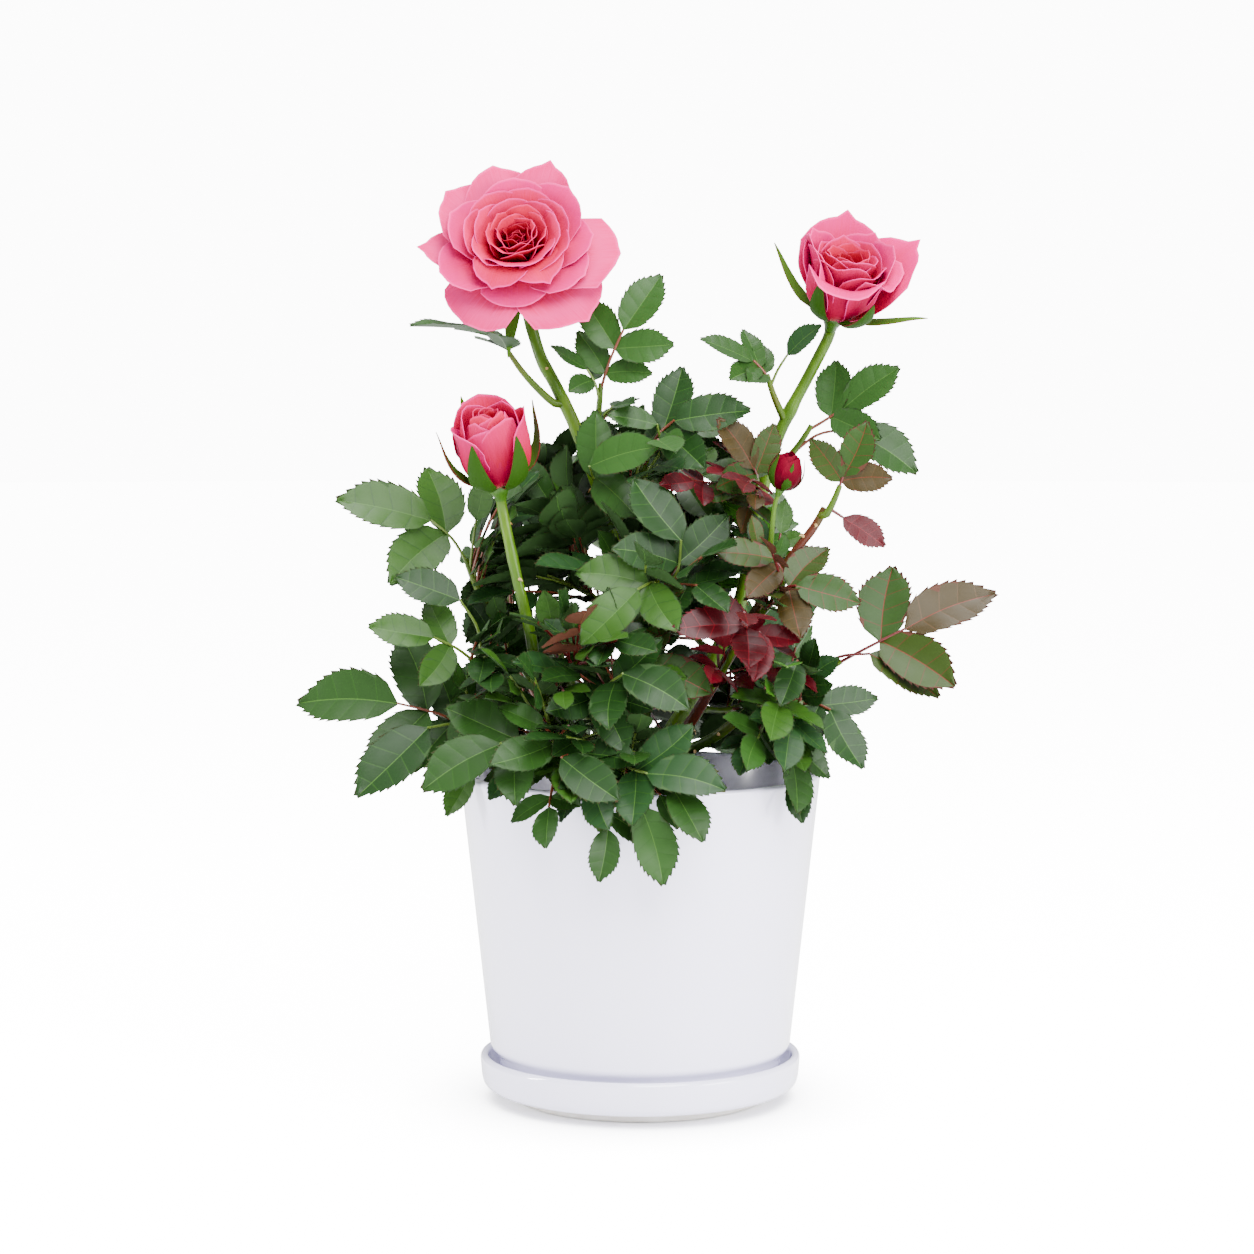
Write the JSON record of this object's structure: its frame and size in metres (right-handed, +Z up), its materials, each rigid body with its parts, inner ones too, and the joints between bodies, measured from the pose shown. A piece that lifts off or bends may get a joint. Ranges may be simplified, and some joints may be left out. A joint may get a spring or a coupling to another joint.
{
  "type": "potted rose bush",
  "caption": "Miniature rose bush with open blooms and buds in a tapered round pot standing in its saucer.",
  "frame": {"origin": "centre of the saucer's flat underside, on the ground", "axes": "+Z up, -Y towards the side the picture shows, +X to the right seen from there"},
  "size_m": [0.2459, 0.1919, 0.3332],
  "materials": {
    "bloom_bud": null,
    "bloom_half_open": null,
    "bloom_open": null,
    "bud_closed": null,
    "bud_stalk": "smooth yellow-green young bark",
    "cane_back": "smooth yellow-green young bark",
    "cane_back_left": "smooth yellow-green young bark",
    "cane_back_right": "smooth yellow-green young bark",
    "cane_bud": "smooth yellow-green young bark",
    "cane_front": "smooth yellow-green young bark",
    "cane_half_open_bloom": "smooth yellow-green young bark",
    "cane_left": "smooth yellow-green young bark",
    "cane_open_bloom": "smooth yellow-green young bark",
    "cane_red_shoot": "smooth yellow-green young bark",
    "cane_right": "smooth yellow-green young bark",
    "foliage_above_centre": null,
    "foliage_back_high": null,
    "foliage_back_left_high": null,
    "foliage_back_left_low": null,
    "foliage_back_left_middle": null,
    "foliage_back_low": null,
    "foliage_back_right_high": null,
    "foliage_back_right_low": null,
    "foliage_centre": null,
    "foliage_centre_high": null,
    "foliage_far_right": null,
    "foliage_front_left": null,
    "foliage_front_low": null,
    "foliage_front_middle": null,
    "foliage_inner_back": null,
    "foliage_inner_left": null,
    "foliage_inner_middle": null,
    "foliage_inner_right": null,
    "foliage_left_back": null,
    "foliage_left_high": null,
    "foliage_left_low": null,
    "foliage_left_middle": null,
    "foliage_red_left": null,
    "foliage_red_low": null,
    "foliage_red_middle": null,
    "foliage_red_top": null,
    "foliage_right_back": null,
    "foliage_right_high": null,
    "foliage_right_low": null,
    "foliage_side_shoot": null,
    "foliage_under_half_open_bloom": null,
    "foliage_under_open_bloom": null,
    "pot": "white gloss glaze",
    "saucer": "white gloss glaze",
    "soil": null,
    "stem": "old grey-brown wood"
  },
  "bodies": {
    "root": {"bloom_bud": "bloom_bud", "bloom_half_open": "bloom_half_open", "bloom_open": "bloom_open", "bud_closed": "bud_closed", "bud_stalk": "bud_stalk", "cane_back": "cane_back", "cane_back_left": "cane_back_left", "cane_back_right": "cane_back_right", "cane_bud": "cane_bud", "cane_front": "cane_front", "cane_half_open_bloom": "cane_half_open_bloom", "cane_left": "cane_left", "cane_open_bloom": "cane_open_bloom", "cane_red_shoot": "cane_red_shoot", "cane_right": "cane_right", "foliage_above_centre": "foliage_above_centre", "foliage_back_high": "foliage_back_high", "foliage_back_left_high": "foliage_back_left_high", "foliage_back_left_low": "foliage_back_left_low", "foliage_back_left_middle": "foliage_back_left_middle", "foliage_back_low": "foliage_back_low", "foliage_back_right_high": "foliage_back_right_high", "foliage_back_right_low": "foliage_back_right_low", "foliage_centre": "foliage_centre", "foliage_centre_high": "foliage_centre_high", "foliage_far_right": "foliage_far_right", "foliage_front_left": "foliage_front_left", "foliage_front_low": "foliage_front_low", "foliage_front_middle": "foliage_front_middle", "foliage_inner_back": "foliage_inner_back", "foliage_inner_left": "foliage_inner_left", "foliage_inner_middle": "foliage_inner_middle", "foliage_inner_right": "foliage_inner_right", "foliage_left_back": "foliage_left_back", "foliage_left_high": "foliage_left_high", "foliage_left_low": "foliage_left_low", "foliage_left_middle": "foliage_left_middle", "foliage_red_left": "foliage_red_left", "foliage_red_low": "foliage_red_low", "foliage_red_middle": "foliage_red_middle", "foliage_red_top": "foliage_red_top", "foliage_right_back": "foliage_right_back", "foliage_right_high": "foliage_right_high", "foliage_right_low": "foliage_right_low", "foliage_side_shoot": "foliage_side_shoot", "foliage_under_half_open_bloom": "foliage_under_half_open_bloom", "foliage_under_open_bloom": "foliage_under_open_bloom", "pot": "pot", "saucer": "saucer", "soil": "soil", "stem": "stem"}
  },
  "joints": []
}
